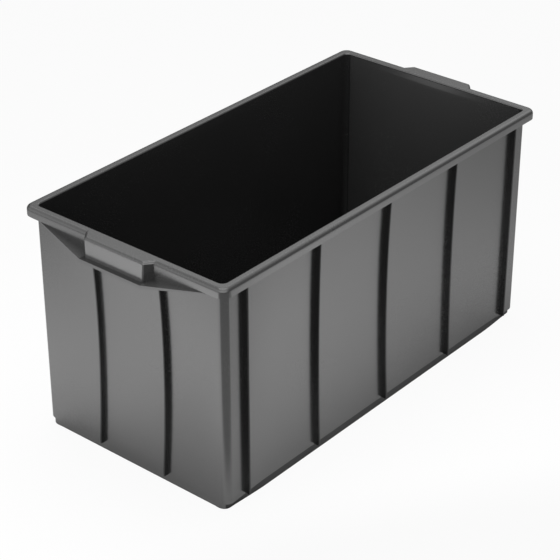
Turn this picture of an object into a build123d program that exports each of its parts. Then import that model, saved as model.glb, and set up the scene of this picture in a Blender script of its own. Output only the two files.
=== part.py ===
"""Open-topped rectangular harvest crate, moulded plastic, in millimetres, +Z up.

The origin is the middle of the ground face, X runs along the length and the front end faces -X.
"""

import os

from build123d import *

# Overall size: the rim is the widest thing on the crate apart from the two handles
rim_length = 600.0
rim_width = 310.0
crate_height = 300.0

# Wall and rim sections
wall_thick = 2.5
rim_overhang = 9.5
rim_drop = 12.0
rim_thick = 2.5
shoulder_radius = 5.0
rim_corner_radius = 12.0
rim_edge_radius = 2.2
wall_corner_radius = 9.0

# Floor and the stacking foot under it
foot_height = 8.0
foot_inset = 3.75
foot_thick = 2.5
floor_thick = 3.0

# The walls lean inward between the corners, from the rim down, most at a little above half height,
# and stay straight in a band along the bottom: right under the rim a short flare takes a first share
side_bow = 4.4
end_bow = 9.5
bow_bottom_band = 6.0
bow_deepest = 0.45
flare_drop = 8.0
flare_share = 0.24

# Ribs: five on each long side, two on each end
side_rib_depth = rim_overhang - rim_thick
end_rib_depth = 6.0
rib_thick = 2.5
rib_tip_chamfer = 0.6
rib_foot_gap = 2.7
side_rib_margin = 23.0
side_rib_spread = 0.51

# Handle: a hollow grip that carries the rim's top outward, and an apron round its foot: a level
# brim in front of the grip, and on each side a ramp up to the rim's lower edge with a web behind it
grip_reach = 19.0
grip_half_root = 53.0
grip_half_tip = 45.0
grip_depth = 28.5
grip_thick = 2.5
grip_corner_radius = 4.0
grip_edge_radius = 3.8
grip_draft = 3.0
apron_reach = 27.0
apron_half_root = 126.0
apron_half_tip = 47.0
apron_fall = 12.4
apron_thick = grip_depth - rim_drop - apron_fall
apron_thick_root = 1.6
apron_corner_radius = 3.0

# Sizes that follow from the ones above
wall_length = rim_length - 2 * rim_overhang
wall_width = rim_width - 2 * rim_overhang
inner_length = wall_length - 2 * wall_thick
inner_width = wall_width - 2 * wall_thick
inner_corner_radius = wall_corner_radius - wall_thick
wall_top = crate_height - rim_thick
skirt_bottom = crate_height - rim_drop
grip_bottom = crate_height - grip_depth
bow_low = foot_height + floor_thick + bow_bottom_band
foot_width = wall_width - 2 * foot_inset
foot_gap = foot_width - 2 * wall_corner_radius
side_panel = wall_length - 2 * wall_corner_radius
end_panel = wall_width - 2 * wall_corner_radius
side_rib_outer = side_panel / 2 - side_rib_margin
side_rib_inner = side_rib_spread * side_rib_outer
end_rib_offset = grip_half_root - grip_thick / 2
flare_station = flare_drop / (wall_top - bow_low)
bow_stations = (
    flare_station, (flare_station + bow_deepest) / 2, bow_deepest, (1 + bow_deepest) / 2, 1.0
)

# Helpers for drawing: how far a cutting block runs past what it cuts, and how near an edge lies to
# be picked
reach_beyond = 40.0
pick_margin = 0.1


def bow_share(station):
    # Nothing at the top and bottom of the bow, all of it at the deepest level
    if station < flare_station:
        return flare_share * station / flare_station
    if station < bow_deepest:
        rise = (bow_deepest - station) / (bow_deepest - flare_station)
        return 1 - (1 - flare_share) * rise**2
    return 1 - ((station - bow_deepest) / (1 - bow_deepest)) ** 2


def bow_at(along, length, station, most):
    # Quartic along the panel, so that the bow dies out level with the corner posts
    share = along / length + 0.5
    return 16 * most * bow_share(station) * (share * (1 - share)) ** 2


def level(station):
    return wall_top + station * (bow_low - wall_top)


def bow_section(length, station, most):
    # One level slice of a wall: outer face on y = 0, inner face at the wall thickness
    z = level(station)
    lift = most * bow_share(station) * 8 / 3
    ends = (-length / 2, -length / 4, 0.0, length / 4, length / 2)
    lifts = (0.0, 0.0, lift, 0.0, 0.0)
    outer = [(x, y, z) for x, y in zip(ends, lifts)]
    inner = [(x, y + wall_thick, z) for x, y in zip(ends, lifts)]
    edges = [
        Bezier(*outer),
        Line(outer[-1], inner[-1]),
        Bezier(*reversed(inner)),
        Line(inner[0], outer[0]),
    ]
    return Face(Wire(edges))


def band(length, low, high):
    return Pos(0, wall_thick / 2, (low + high) / 2) * Box(length, wall_thick, high - low)


def make_wall(length, most):
    flare = loft([bow_section(length, station, most) for station in (0.0, flare_station)])
    bowed = loft([bow_section(length, station, most) for station in bow_stations])
    return flare + bowed + band(length, foot_height, bow_low)


def bow_line(along, length, most, out):
    # A line, two arcs and a line that follow the wall down one rib, at a distance out from its face
    points = []
    for station in (0.0, *bow_stations):
        shift = bow_at(along, length, station, most)
        points.append((along, shift - out, level(station)))
    flare = Line(points[0], points[1])
    foot = Line(points[-1], (along, -out, foot_height + rib_foot_gap))
    return [flare, ThreePointArc(*points[1:4]), ThreePointArc(*points[3:]), foot]


def make_rib(along, length, most, depth, keep_out):
    # The rib is drawn into the middle of the wall and then cut back to the wall's own outer face
    tip = bow_line(along, length, most, depth)
    root = bow_line(along, length, most, -wall_thick / 2)
    top = Line(root[0] @ 0, tip[0] @ 0)
    bottom = Line(tip[-1] @ 1, root[-1] @ 1)
    outline = Wire([*tip, bottom, *root, top])
    blank = extrude(Face(outline), rib_thick / 2, dir=(1, 0, 0), both=True)

    def on_tip(edge):
        distance = min(line.distance_to(edge.center()) for line in tip)
        return abs(distance - rib_thick / 2) < pick_margin

    return chamfer(blank.edges().filter_by(on_tip), rib_tip_chamfer) - keep_out


def make_corner():
    outline = RectangleRounded(wall_length, wall_width, wall_corner_radius)
    hollow = RectangleRounded(inner_length, inner_width, inner_corner_radius)
    ring = extrude(outline - hollow, wall_top - foot_height)
    size = wall_corner_radius
    middle = (wall_top - foot_height) / 2
    spot = Pos(-(wall_length - size) / 2, -(wall_width - size) / 2, middle)
    return Pos(0, 0, foot_height) * (ring & (spot * Box(size, size, 2 * middle)))


def make_floor():
    plate = RectangleRounded(inner_length, inner_width, inner_corner_radius)
    return Pos(0, 0, foot_height) * extrude(plate, floor_thick)


def make_feet():
    # A rail under each side, with rounded ends that close onto the foot of the end walls
    outline = RectangleRounded(wall_length, foot_width, wall_corner_radius)
    hollow = RectangleRounded(
        wall_length - 2 * foot_thick, foot_width - 2 * foot_thick, wall_corner_radius - foot_thick
    )
    ring = extrude(outline - hollow, foot_height)
    return (ring - Box(2 * wall_length, foot_gap, 2 * crate_height)).solids().sort_by(Axis.Y)


def make_rim_ring():
    outline = RectangleRounded(rim_length, rim_width, rim_corner_radius)
    opening = RectangleRounded(inner_length, inner_width, inner_corner_radius)
    channel = RectangleRounded(
        rim_length - 2 * rim_thick, rim_width - 2 * rim_thick, rim_corner_radius - rim_thick
    )
    block = extrude(outline, rim_drop)
    block = fillet(block.faces().sort_by(Axis.Z)[-1].edges(), shoulder_radius)
    under = extrude(channel, rim_drop - rim_thick)
    under = chamfer(under.faces().sort_by(Axis.Z)[-1].edges(), shoulder_radius - rim_thick)
    ring = block - under - extrude(opening, rim_drop)
    inner_edges = ring.faces().sort_by(Axis.Z)[-1].inner_wires()[0].edges()
    return Pos(0, 0, skirt_bottom) * fillet(inner_edges, rim_edge_radius)


def outward(reach, y):
    # A point on the front end, measured outward from the wall's outer face
    return (-(wall_length / 2 + reach), y)


def grip_outline(root, inset=0.0):
    tip = grip_half_tip - inset
    base = grip_half_root - inset
    points = [
        outward(root, -base),
        outward(rim_overhang - inset / 2, -base),
        outward(grip_reach - inset, -tip),
        outward(grip_reach - inset, tip),
        outward(rim_overhang - inset / 2, base),
        outward(root, base),
    ]
    return make_face(Polyline(*points, close=True))


def corner_posts(solid, reach):
    # The upright edges at the outer end of a handle's block
    x = outward(reach - pick_margin, 0.0)[0]
    outer = solid.edges().filter_by(lambda edge: edge.center().X < x)
    return outer.filter_by(lambda edge: edge.bounding_box().size.Z > pick_margin)


def grip_prism(root, low, high, inset=0.0):
    # The lip leans outward to its foot, by the draft that frees it from its mould
    prism = Pos(0, 0, low) * extrude(grip_outline(root, inset), high - low)
    lip = prism.faces().sort_by(Axis.X)[0]
    return draft(lip, Plane.XY.offset(crate_height), grip_draft)


def grip_block(low, high):
    block = grip_prism(-wall_thick, low, high)
    return fillet(corner_posts(block, grip_reach), grip_corner_radius)


def make_grip():
    block = grip_block(grip_bottom, crate_height)
    x_skirt = outward(rim_overhang - pick_margin, 0.0)[0]
    top = block.faces().sort_by(Axis.Z)[-1].edges()
    block = fillet([edge for edge in top if edge.center().X < x_skirt], grip_edge_radius)
    inner_edge = block.faces().sort_by(Axis.Z)[-1].edges().sort_by(Axis.X)[-1]
    block = fillet(inner_edge, rim_edge_radius)
    block = block - grip_prism(-reach_beyond, grip_bottom, wall_top, grip_thick)
    behind = Pos(*outward(-reach_beyond / 2, 0.0), wall_top - reach_beyond / 2)
    return block - behind * Box(reach_beyond, 3 * grip_half_root, reach_beyond)


def apron_sheet(chain, from_reach, to_reach):
    x = outward(from_reach, 0.0)[0]
    face = make_face(Polyline(*[(x, y, z) for y, z in chain], close=True))
    return extrude(face, to_reach - from_reach, dir=(-1, 0, 0))


def make_apron():
    root = rim_overhang - rim_thick
    brim = skirt_bottom - apron_fall
    top = [
        (-apron_half_root, skirt_bottom),
        (-apron_half_tip, brim),
        (apron_half_tip, brim),
        (apron_half_root, skirt_bottom),
    ]
    under = [
        (apron_half_root, skirt_bottom - apron_thick_root),
        (apron_half_tip, brim - apron_thick),
        (-apron_half_tip, brim - apron_thick),
        (-apron_half_root, skirt_bottom - apron_thick_root),
    ]
    plate = apron_sheet(top + under, root, apron_reach)
    web = apron_sheet(top, root, rim_overhang)
    outline = [
        outward(0.0, -apron_half_root),
        outward(rim_overhang, -apron_half_root),
        outward(apron_reach, -apron_half_tip),
        outward(apron_reach, apron_half_tip),
        outward(rim_overhang, apron_half_root),
        outward(0.0, apron_half_root),
    ]
    trim = extrude(make_face(Polyline(*outline, close=True)), 2 * reach_beyond)
    trim = Pos(0, 0, grip_bottom - reach_beyond) * trim
    trim = fillet(corner_posts(trim, apron_reach), apron_corner_radius)
    plate = (plate + web) & trim
    return plate - grip_block(grip_bottom - reach_beyond, crate_height)


def turned(shape):
    return Rot(0, 0, 180) * shape


parts = {}

# The rim ring is opened where the grips take its place, which leaves one half along each side
ring = make_rim_ring()
gap = Box(2 * rim_length, 2 * grip_half_root, 2 * crate_height)
halves = (ring - Pos(0, 0, crate_height) * gap).solids().sort_by(Axis.Y)
parts["right_rim"] = halves[0]
parts["left_rim"] = halves[-1]

# Walls are drawn once each, facing -Y, and turned to their place: the end walls reach the ground
side_wall = make_wall(side_panel, side_bow)
end_wall = make_wall(end_panel, end_bow) + band(foot_gap, 0.0, foot_height)
to_side = Pos(0, -wall_width / 2, 0)
to_end = Pos(-wall_length / 2, 0, 0) * Rot(0, 0, -90)
parts["right_side_wall"] = to_side * side_wall
parts["left_side_wall"] = turned(to_side * side_wall)
parts["front_end_wall"] = to_end * end_wall
parts["rear_end_wall"] = turned(to_end * end_wall)

# The side ribs run up into the channel under the rim, the end ribs stop under the grip's ends
side_rows = (-side_rib_outer, -side_rib_inner, 0.0, side_rib_inner, side_rib_outer)
for number, along in enumerate(side_rows):
    rib = to_side * make_rib(along, side_panel, side_bow, side_rib_depth, side_wall) - halves[0]
    parts[f"right_side_rib_{number + 1}"] = rib
    parts[f"left_side_rib_{len(side_rows) - number}"] = turned(rib)

above = Pos(0, 0, grip_bottom + reach_beyond / 2) * Box(rim_width, reach_beyond, reach_beyond)
for number, along in enumerate((-end_rib_offset, end_rib_offset)):
    rib = make_rib(along, end_panel, end_bow, end_rib_depth, end_wall + above)
    parts[f"front_end_rib_{number + 1}"] = to_end * rib
    parts[f"rear_end_rib_{number + 1}"] = turned(to_end * rib)

corner = make_corner()
parts["front_right_corner"] = corner
parts["rear_left_corner"] = turned(corner)
other_corner = mirror(corner, about=Plane.XZ)
parts["front_left_corner"] = other_corner
parts["rear_right_corner"] = turned(other_corner)

parts["floor_panel"] = make_floor()
feet = make_feet()
parts["right_foot_rail"] = feet[0]
parts["left_foot_rail"] = feet[-1]

grip = make_grip()
parts["front_handle_grip"] = grip
parts["rear_handle_grip"] = turned(grip)
apron = make_apron()
parts["front_handle_apron"] = apron
parts["rear_handle_apron"] = turned(apron)

os.makedirs("parts", exist_ok=True)
for name, shape in parts.items():
    solids = shape.solids()
    assert len(solids) == 1, (name, len(solids))
    export_step(solids[0], f"parts/{name}.step")
print(len(parts), "parts written")
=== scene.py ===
from math import radians

import bmesh
import bpy
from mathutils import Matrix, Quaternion, Vector
from mathutils.bvhtree import BVHTree


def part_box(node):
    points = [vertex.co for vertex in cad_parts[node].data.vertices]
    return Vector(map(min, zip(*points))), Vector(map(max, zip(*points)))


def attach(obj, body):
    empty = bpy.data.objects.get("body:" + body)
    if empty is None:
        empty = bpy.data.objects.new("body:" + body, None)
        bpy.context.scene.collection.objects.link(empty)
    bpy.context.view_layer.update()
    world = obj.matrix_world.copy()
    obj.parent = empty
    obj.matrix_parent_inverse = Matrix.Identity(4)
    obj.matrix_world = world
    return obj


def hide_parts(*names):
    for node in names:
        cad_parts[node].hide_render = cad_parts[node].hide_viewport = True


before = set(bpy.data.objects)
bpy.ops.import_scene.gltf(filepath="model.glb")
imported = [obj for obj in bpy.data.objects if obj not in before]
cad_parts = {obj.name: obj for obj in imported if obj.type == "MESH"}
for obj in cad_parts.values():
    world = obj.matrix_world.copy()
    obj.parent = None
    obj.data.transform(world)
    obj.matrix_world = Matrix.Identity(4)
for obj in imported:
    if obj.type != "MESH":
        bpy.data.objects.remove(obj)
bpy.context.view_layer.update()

scene = bpy.context.scene
scene.view_settings.view_transform = "Standard"
print("frame loaded:", len(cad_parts), "nodes")


# Shader maths: a socket that can be added, multiplied and so on, and one method for any other node
class Sock:
    def __init__(self, tree, out=None):
        self.tree = tree
        self.out = out

    def plug(self, socket, value):
        if isinstance(value, Sock):
            self.tree.links.new(value.out, socket)
        else:
            socket.default_value = value

    def add(self, kind, settings=None, inputs=None, take=0):
        node = self.tree.nodes.new(kind)
        for name, value in (settings or {}).items():
            setattr(node, name, value)
        for name, value in (inputs or {}).items():
            self.plug(node.inputs[name], value)
        return Sock(self.tree, node.outputs[take]) if node.outputs else None

    def maths(self, operation, *others):
        values = dict(enumerate((self, *others)))
        return self.add("ShaderNodeMath", {"operation": operation}, values)

    def eased(self, low, high):  # 0 below low, 1 above high, smooth between
        settings = {"interpolation_type": "SMOOTHSTEP"}
        inputs = {"Value": self, "From Min": low, "From Max": high}
        return self.add("ShaderNodeMapRange", settings, inputs)

    def measured(self, operation, other):  # one number from two vectors
        values = {0: self, 1: other}
        return self.add("ShaderNodeVectorMath", {"operation": operation}, values, take="Value")

    def distance(self, point):
        return self.measured("DISTANCE", point)

    def along(self, way):
        return self.measured("DOT_PRODUCT", way)

    def grey(self):
        return self.add("ShaderNodeCombineColor", inputs={"Red": self, "Green": self, "Blue": self})

    def __add__(self, other):
        return self.maths("ADD", other)

    def __sub__(self, other):
        return self.maths("SUBTRACT", other)

    def __rsub__(self, other):
        return (self * -1.0).maths("ADD", other)

    def __mul__(self, other):
        return self.maths("MULTIPLY", other)

    __radd__ = __add__
    __rmul__ = __mul__


# Moulded plastic: dark and satin, with a fine grain from the mould and slow drifts of tone
def mouldedPlastic(name, look):
    material = bpy.data.materials.new(name)
    material.use_nodes = True
    tree = material.node_tree
    shader = tree.nodes["Principled BSDF"]
    pen = Sock(tree)
    place = pen.add("ShaderNodeTexCoord", take="Object")

    def noise(kind):
        inputs = {"Vector": place, "Scale": look[kind + "Scale"]}
        inputs |= {"Detail": look[kind + "Detail"], "Roughness": look[kind + "Break"]}
        return pen.add("ShaderNodeTexNoise", inputs=inputs)

    drift = noise("drift")
    grain = noise("grain")
    driftPart = drift - look["noiseMean"]
    grainPart = grain - look["noiseMean"]
    tone = 1.0 + driftPart * look["driftTone"] + grainPart * look["grainTone"]
    pen.plug(shader.inputs["Base Color"], (tone * look["grey"]).grey())
    rough = look["roughness"] + driftPart * look["driftRough"] + grainPart * look["grainRough"]
    pen.plug(shader.inputs["Roughness"], rough)
    bump = pen.add(
        "ShaderNodeBump",
        inputs={"Strength": look["bump"], "Distance": look["bumpDepth"], "Height": grain},
    )
    pen.plug(shader.inputs["Normal"], bump)
    shader.inputs["IOR"].default_value = look["ior"]
    return material


plastic = {
    "grey": 0.012,
    "roughness": 0.26,
    "ior": 2.9,  # high, for the strong sheen
    "noiseMean": 0.5,
    "driftScale": 6.0,
    "driftDetail": 2.0,
    "driftBreak": 0.5,
    "driftTone": 0.3,
    "driftRough": 0.05,
    "grainScale": 900.0,
    "grainDetail": 3.0,
    "grainBreak": 0.6,
    "grainTone": 0.2,
    "grainRough": 0.08,
    "bump": 0.1,
    "bumpDepth": 0.0002,
}
finishes = {
    "shell": mouldedPlastic("shellPlastic", plastic),
    # painted shade and light: the inside copies have less sheen than the shell, for the shade in the
    # box, and the end walls' inside is lighter than the sides', for more light falling on it
    "insideEnd": mouldedPlastic("insideEndPlastic", plastic | {"grey": 0.048, "ior": 1.8}),
    "insideSide": mouldedPlastic("insideSidePlastic", plastic | {"grey": 0.019, "ior": 1.8}),
    # painted shade: the corner posts, the rim's turns and the feet's ends wear a copy with less
    # sheen, darker than the walls
    "corner": mouldedPlastic("cornerPlastic", plastic | {"ior": 2.75}),
    # painted light: the grips' lips wear a lighter copy with more sheen
    "lip": mouldedPlastic("lipPlastic", plastic | {"grey": 0.1, "ior": 4.2, "roughness": 0.24}),
    # painted light: the rim's skirts wear a copy with more sheen than the walls
    "skirt": mouldedPlastic("skirtPlastic", plastic | {"ior": 3.5}),
    # painted shade: the grips' ends wear a darker copy with less sheen
    "gripEnd": mouldedPlastic("gripEndPlastic", plastic | {"grey": 0.015, "ior": 1.9}),
    # painted shade: the ribs wear a darker copy with less sheen, for the shade along their flanks
    "rib": mouldedPlastic("ribPlastic", plastic | {"grey": 0.008, "ior": 1.7}),
    "apron": mouldedPlastic("apronPlastic", plastic | {"grey": 0.026}),
    # painted shade: the brim under a grip wears a copy with less sheen
    "brim": mouldedPlastic("brimPlastic", plastic | {"ior": 1.9}),
    # painted shade: the feet wear a darker copy with less sheen, for the shade under the walls
    "foot": mouldedPlastic("footPlastic", plastic | {"grey": 0.010, "ior": 1.7}),
}
# Which finishes a piece wears, in the order of lookIndex
looksOf = {
    "_rib": ["rib"],
    "_apron": ["apron", "brim"],
    "_foot": ["foot", "corner"],
    "_end_wall": ["shell", "insideEnd"],
    "_side_wall": ["shell", "insideSide"],
    "_corner": ["corner", "insideSide"],
    "_grip": ["shell", "lip", "gripEnd"],
    "_rim": ["shell", "corner", "skirt"],
    "floor": ["insideSide"],
}
print("finishes made:", ", ".join(finishes))


# Skins: each moulded feature's own surface, its free edges eased as a mould leaves them
skin = {
    "weld": 0.00001,
    "flat": radians(0.05),
    "sharp": radians(32),
    "ease": 0.0004,
    "easeSteps": 3,
    "touching": 0.0003,  # nearer than this, an edge is part of a joint
    "upright": 0.7,  # this and the next three are limits for a face's normal
    "square": 0.95,
    "slanted": 0.74,
    "turned": 0.25,
    "brimHalf": 0.045,  # half the length of the brim under a grip
    "suffix": "_skin",
}


def solidTree(node):
    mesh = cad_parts[node].data
    corners = [vert.co for vert in mesh.vertices]
    return BVHTree.FromPolygons(corners, [face.vertices for face in mesh.polygons])


solidTrees = {node: solidTree(node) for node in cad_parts}
solidBoxes = {node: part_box(node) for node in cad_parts}


def nearBox(point, box, margin):
    return all(low - margin < value < high + margin for value, low, high in zip(point, *box))


def isFree(point, owner):
    for node, tree in solidTrees.items():
        if node == owner or not nearBox(point, solidBoxes[node], skin["touching"]):
            continue
        if tree.find_nearest(point, skin["touching"])[0] is not None:
            return False
    return True


def freeEdges(bm, owner):
    free = []
    for edge in bm.edges:
        if not edge.is_convex or edge.calc_face_angle(0.0) < skin["sharp"]:
            continue
        ends = [vert.co for vert in edge.verts]
        if all(isFree(point, owner) for point in (*ends, (ends[0] + ends[1]) / 2)):
            free.append(edge)
    return free


def roundEdges(bm, edges, size):
    bmesh.ops.bevel(
        bm,
        geom=edges,
        offset=size,
        affect="EDGES",
        segments=skin["easeSteps"],
        profile=0.5,
        material=-1,
        clamp_overlap=False,
    )
    bmesh.ops.dissolve_degenerate(bm, dist=skin["weld"], edges=bm.edges)


def weldedSolid(node):
    bm = bmesh.new()
    bm.from_mesh(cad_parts[node].data)
    bmesh.ops.remove_doubles(bm, verts=bm.verts, dist=skin["weld"])
    bmesh.ops.dissolve_limit(bm, angle_limit=skin["flat"], verts=bm.verts, edges=bm.edges)
    return bm


# Feet: away from the corners a little higher and further out than the solids
foot = {"top": 0.0109, "outer": 0.1446, "run": 0.07, "cuts": 12}


def footRise(x):  # 0 at the rails' ends, 1 away from the corners, smooth between
    low, high = solidBoxes["right_foot_rail"]
    share = min(max(min(x - low.x, high.x - x) / foot["run"], 0.0), 1.0)
    return share * share * (3 - 2 * share)


def widenFoot(bm, node):
    low, high = solidBoxes[node]
    for cut in range(1, foot["cuts"] + 1):
        step = foot["run"] * cut / foot["cuts"]
        for x in (low.x + step, high.x - step):
            bmesh.ops.bisect_plane(
                bm,
                geom=[*bm.verts, *bm.edges, *bm.faces],
                dist=skin["weld"],
                plane_co=(x, 0, 0),
                plane_no=(1, 0, 0),
            )
    inner = min(abs(low.y), abs(high.y))
    stretch = (foot["outer"] - inner) / (high.y - low.y) - 1
    for vert in bm.verts:
        if vert.co.z > high.z - skin["weld"]:
            vert.co.z = foot["top"]
        side = 1.0 if vert.co.y > 0 else -1.0
        vert.co.y += side * (abs(vert.co.y) - inner) * stretch * footRise(vert.co.x)


# Walls: the bow of the solids on a grid fine enough to mirror the floor and ribs without kinks
wall = {
    "thick": 0.0025,
    "bowLow": 0.017,
    "deepest": 0.45,
    "flareDrop": 0.008,
    "flareShare": 0.24,
    "across": 60,
    "rows": 56,
    "flareRows": 4,
    "low": 0.0108,  # the side walls' lower edge above the feet
}


def bowShare(station, flareStation):
    deepest = wall["deepest"]
    if station <= flareStation:
        return max(wall["flareShare"] * station / flareStation, 0.0)
    if station < deepest:
        rise = (deepest - station) / (deepest - flareStation)
        return 1 - (1 - wall["flareShare"]) * rise**2
    return max(1 - ((station - deepest) / (1 - deepest)) ** 2, 0.0)


def wallLevels(bottom, top):
    span = top - wall["bowLow"] - wall["flareDrop"]
    levels = [wall["bowLow"] + span * row / wall["rows"] for row in range(wall["rows"] + 1)]
    flare = wall["flareDrop"] / wall["flareRows"]
    levels += [top - flare * row for row in reversed(range(wall["flareRows"]))]
    floorLow = solidBoxes["floor_panel"][0].z
    return sorted({bottom, floorLow}) + levels


def bowedWall(node):
    low, high = solidBoxes[node]
    size = high - low
    across, along = (1, 0) if size.x > size.y else (0, 1)
    side = 1.0 if (low + high)[across] > 0 else -1.0
    outer = max(abs(low[across]), abs(high[across]))
    most = size[across] - wall["thick"]
    levels = wallLevels(low.z, high.z)
    flareStation = wall["flareDrop"] / (high.z - wall["bowLow"])
    footHalf = abs(solidBoxes["right_foot_rail"][1].y)
    bm = bmesh.new()
    bmesh.ops.create_grid(bm, x_segments=wall["across"], y_segments=len(levels) - 1, size=0.5)
    for vert in bm.verts:  # the grid runs from -0.5 to 0.5
        share = vert.co.x + 0.5
        height = levels[round((vert.co.y + 0.5) * (len(levels) - 1))]
        column = round(share * wall["across"])
        if along == 1 and min(column, wall["across"] - column) == 1:  # a column at the foot's end
            share = 0.5 + (share - 0.5) / abs(share - 0.5) * footHalf / size[along]
        station = (high.z - height) / (high.z - wall["bowLow"])
        swell = (4 * share * (1 - share)) ** 2  # 1 in the middle of the wall, 0 at its ends
        bow = most * bowShare(station, flareStation) * swell
        vert.co[along] = (share - 0.5) * size[along]
        vert.co[across] = side * (outer - bow)
        if along == 0 and height == levels[0]:  # the feet stand a little higher between the corners
            height += (wall["low"] - height) * footRise(vert.co.x)
        vert.co.z = height
    floorLow = solidBoxes["floor_panel"][0].z
    beyond = []
    for face in bm.faces:
        middle = face.calc_center_median()
        if middle.z < floorLow and abs(middle[along]) > footHalf:
            beyond.append(face)
    bmesh.ops.delete(bm, geom=beyond, context="FACES")
    made = bmesh.ops.extrude_face_region(bm, geom=bm.faces[:])["geom"]
    inward = Vector((0.0, 0.0, 0.0))
    inward[across] = -side * wall["thick"]
    inner = [item for item in made if isinstance(item, bmesh.types.BMVert)]
    bmesh.ops.translate(bm, verts=inner, vec=inward)
    bmesh.ops.recalc_face_normals(bm, faces=bm.faces)
    return bm


def lookIndex(node, face):
    middle = face.calc_center_median()
    out = Vector((face.normal.x * middle.x, face.normal.y * middle.y))  # above 0, it looks out
    if "_grip" in node:  # painted light on the lips, a lighter and shinier copy; painted shade on the ends, a darker and duller one
        if out.x > skin["square"] * abs(middle.x):
            return 1
        return 2 if out.y > skin["slanted"] * abs(middle.y) else 0
    if "_apron" in node:  # painted shade: the brim under the lip wears a duller copy, for the lip's shade
        return int(abs(middle.y) < skin["brimHalf"] and abs(face.normal.x) < skin["upright"])
    if abs(face.normal.z) > skin["upright"]:
        return 0
    if "_foot" in node:
        return int(abs(face.normal.x) > skin["upright"])
    if "_rim" in node:  # its turns wear the corner posts' painted shade, its skirts the painted light of a copy with more sheen
        if min(abs(face.normal.x), abs(face.normal.y)) > skin["turned"]:
            return int(out.x + out.y > 0)
        square = max(abs(face.normal.x), abs(face.normal.y)) > skin["square"]
        return 2 if square and out.x + out.y > 0 else 0
    return int(out.x + out.y < 0)


def wearSkin(node):
    looks = next(found for part, found in looksOf.items() if part in node)
    bm = bowedWall(node) if node.endswith("_wall") else weldedSolid(node)
    if "_foot" in node:
        widenFoot(bm, node)
    if "_apron" not in node:  # its ramps run out to nothing
        roundEdges(bm, freeEdges(bm, node), skin["ease"])
    for face in bm.faces:
        face.smooth = True
        face.material_index = lookIndex(node, face) if len(looks) > 1 else 0
    for edge in bm.edges:
        edge.smooth = edge.calc_face_angle(0.0) < skin["sharp"]
    mesh = bpy.data.meshes.new(node + skin["suffix"])
    bm.to_mesh(mesh)
    bm.free()
    for look in looks:
        mesh.materials.append(finishes[look])
    piece = bpy.data.objects.new(mesh.name, mesh)
    scene.collection.objects.link(piece)
    level = piece.modifiers.new("evenShading", "WEIGHTED_NORMAL")
    level.keep_sharp = True
    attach(piece, "root")
    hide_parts(node)


for node in sorted(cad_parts):
    wearSkin(node)
print("skins made:", len(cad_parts))


# Stage: a pale floor with a painted pool of light beside the near corner and a painted dark patch on
# the camera's side
stage = {
    "size": 12.0,
    "grey": 0.9,
    "white": 0.94,
    "mirrorWhite": 0.05,
    "poolPlace": (-0.42, -0.25, 0.0),
    "poolInner": 0.15,
    "poolOuter": 1.2,
    "poolFall": 0.55,
    "dimPlace": (-0.76, -1.25, 0.0),
    "dimInner": 1.08,
    "dimOuter": 1.2,
    "dimTone": 0.3,
}


def rayKinds(pen):
    camera = pen.add("ShaderNodeLightPath", take="Is Camera Ray")
    glossy = pen.add("ShaderNodeLightPath", take="Is Glossy Ray")
    through = pen.add("ShaderNodeLightPath", take="Is Transmission Ray")
    return camera, glossy + through


def makeFloor():
    bm = bmesh.new()
    bmesh.ops.create_grid(bm, x_segments=1, y_segments=1, size=stage["size"] / 2)
    mesh = bpy.data.meshes.new("paleFloor")
    bm.to_mesh(mesh)
    bm.free()
    material = bpy.data.materials.new("paleFloor")
    material.use_nodes = True
    tree = material.node_tree
    tree.nodes.clear()
    pen = Sock(tree)
    place = pen.add("ShaderNodeTexCoord", take="Object")
    # painted light and shade on the floor: a pool of light that falls off from the near corner, and a
    # dark patch on the camera's side
    pool = place.distance(stage["poolPlace"]).eased(stage["poolInner"], stage["poolOuter"])
    lit = place.distance(stage["dimPlace"]).eased(stage["dimInner"], stage["dimOuter"])
    tone = (1.0 - pool * stage["poolFall"]) * (stage["dimTone"] + lit * (1.0 - stage["dimTone"]))
    matte = pen.add("ShaderNodeBsdfDiffuse", inputs={"Color": (tone * stage["grey"]).grey()})
    white = pen.add("ShaderNodeEmission")
    camera, mirrored = rayKinds(pen)
    seen = camera * stage["white"] + mirrored * stage["mirrorWhite"]
    mix = pen.add("ShaderNodeMixShader", inputs={0: seen, 1: matte, 2: white})
    pen.add("ShaderNodeOutputMaterial", inputs={"Surface": mix})
    mesh.materials.append(material)
    floor = bpy.data.objects.new("paleFloor", mesh)
    scene.collection.objects.link(floor)


# Surround: a pale sweep, open at the right, shaded at the left, hazy low at the back, and a pale top
surround = {
    "pale": 0.86,
    "back": (0.76, 0.65, 0.0),
    "hazeStart": 0.2,
    "hazeEnd": 0.7,
    "hazeUp": (0.2, -0.22, 1.0),
    "hazeLow": 0.4,
    "hazeHigh": 0.5,
    "hazeDepth": 1.0,
    "mirrorWhite": 0.15,
    "sweepLow": 0.58,
    "sweepHigh": 0.84,
    "left": (-0.65, 0.76, 0.0),
    "sweepEnd": -0.85,
    "sweepStart": -0.4,
    "shadeStart": 0.45,
    "shadeEnd": 0.75,
    "shadeDepth": 0.5,
    "dark": 0.18,
    "top": 0.75,
    "topWhite": 0.8,
    "topLow": 0.78,
    "topHigh": 0.97,
    "white": (1.0, 1.0, 1.0, 1.0),
}


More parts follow.
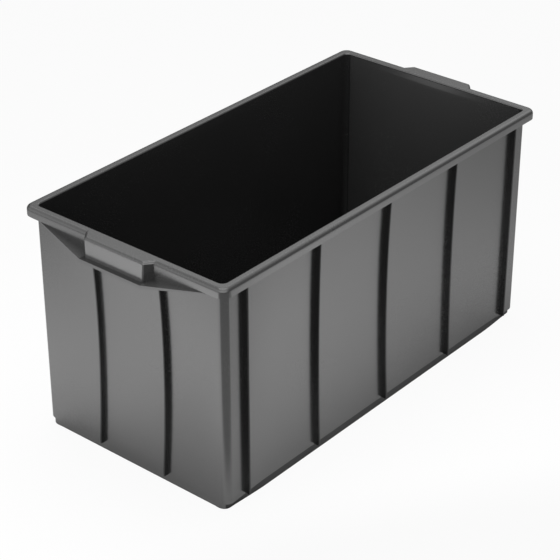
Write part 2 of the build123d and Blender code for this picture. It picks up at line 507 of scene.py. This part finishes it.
def makeSurround():
    world = bpy.data.worlds.new("studio")
    world.use_nodes = True
    scene.world = world
    tree = world.node_tree
    pen = Sock(tree)
    camera, mirrored = rayKinds(pen)
    place = pen.add("ShaderNodeTexCoord", take="Generated")
    height = pen.add("ShaderNodeSeparateXYZ", inputs={"Vector": place}, take="Z")
    sweep = 1.0 - height.eased(surround["sweepLow"], surround["sweepHigh"])
    left = place.along(surround["left"])
    sweep = sweep * left.eased(surround["sweepEnd"], surround["sweepStart"])
    shade = left.eased(surround["shadeStart"], surround["shadeEnd"])
    sweep = sweep * (1.0 - shade * surround["shadeDepth"])
    haze = place.along(surround["back"]).eased(surround["hazeStart"], surround["hazeEnd"])
    above = place.along(surround["hazeUp"]).eased(surround["hazeLow"], surround["hazeHigh"])
    sweep = sweep * (1.0 - haze * (1.0 - above) * surround["hazeDepth"])
    top = height.eased(surround["topLow"], surround["topHigh"])
    rise = sweep * (surround["pale"] - surround["dark"]) + top * (surround["top"] - surround["dark"])
    tone = (rise + surround["dark"]).grey()
    seen = camera + mirrored * (sweep * surround["mirrorWhite"] + top * surround["topWhite"])
    inputs = {"Factor": seen, 6: tone, 7: surround["white"]}  # 6, 7 and 2 are its sockets for colours
    mix = pen.add("ShaderNodeMix", {"data_type": "RGBA"}, inputs, take=2)
    pen.plug(tree.nodes["Background"].inputs["Color"], mix)


# Soft box: a round lamp overhead
softBox = {"place": (0.12, 0.16, 1.4), "size": 1.1, "power": 18.3}


def makeSoftBox():
    lamp = bpy.data.lights.new("softBox", "AREA")
    lamp.shape = "DISK"
    lamp.size = softBox["size"]
    lamp.energy = softBox["power"]
    item = bpy.data.objects.new("softBox", lamp)
    item.location = softBox["place"]
    item.visible_camera = False
    item.visible_glossy = False  # the surround's pale top is what shines in the edges
    scene.collection.objects.link(item)


makeFloor()
makeSurround()
makeSoftBox()
print("stage made")


# Camera: at the photo's viewing angle, with a long lens
view = {
    "place": (-1.56263, -1.29539, 1.29648),
    "aim": (-0.07198, -0.04059, 0.17135),
    "roll": radians(-0.15),
    "lens": 119.8,
    "sensor": 36.0,
    "reach": 50.0,
}


def makeCamera():
    data = bpy.data.cameras.new("photoView")
    data.lens = view["lens"]
    data.sensor_width = view["sensor"]
    data.clip_end = view["reach"]
    camera = bpy.data.objects.new("photoView", data)
    camera.location = view["place"]
    camera.rotation_mode = "QUATERNION"
    axis = Vector(view["aim"]) - Vector(view["place"])
    turn = axis.to_track_quat("-Z", "Y")
    camera.rotation_quaternion = Quaternion(axis, -view["roll"]) @ turn
    scene.collection.objects.link(camera)
    scene.camera = camera


makeCamera()
print("camera made")
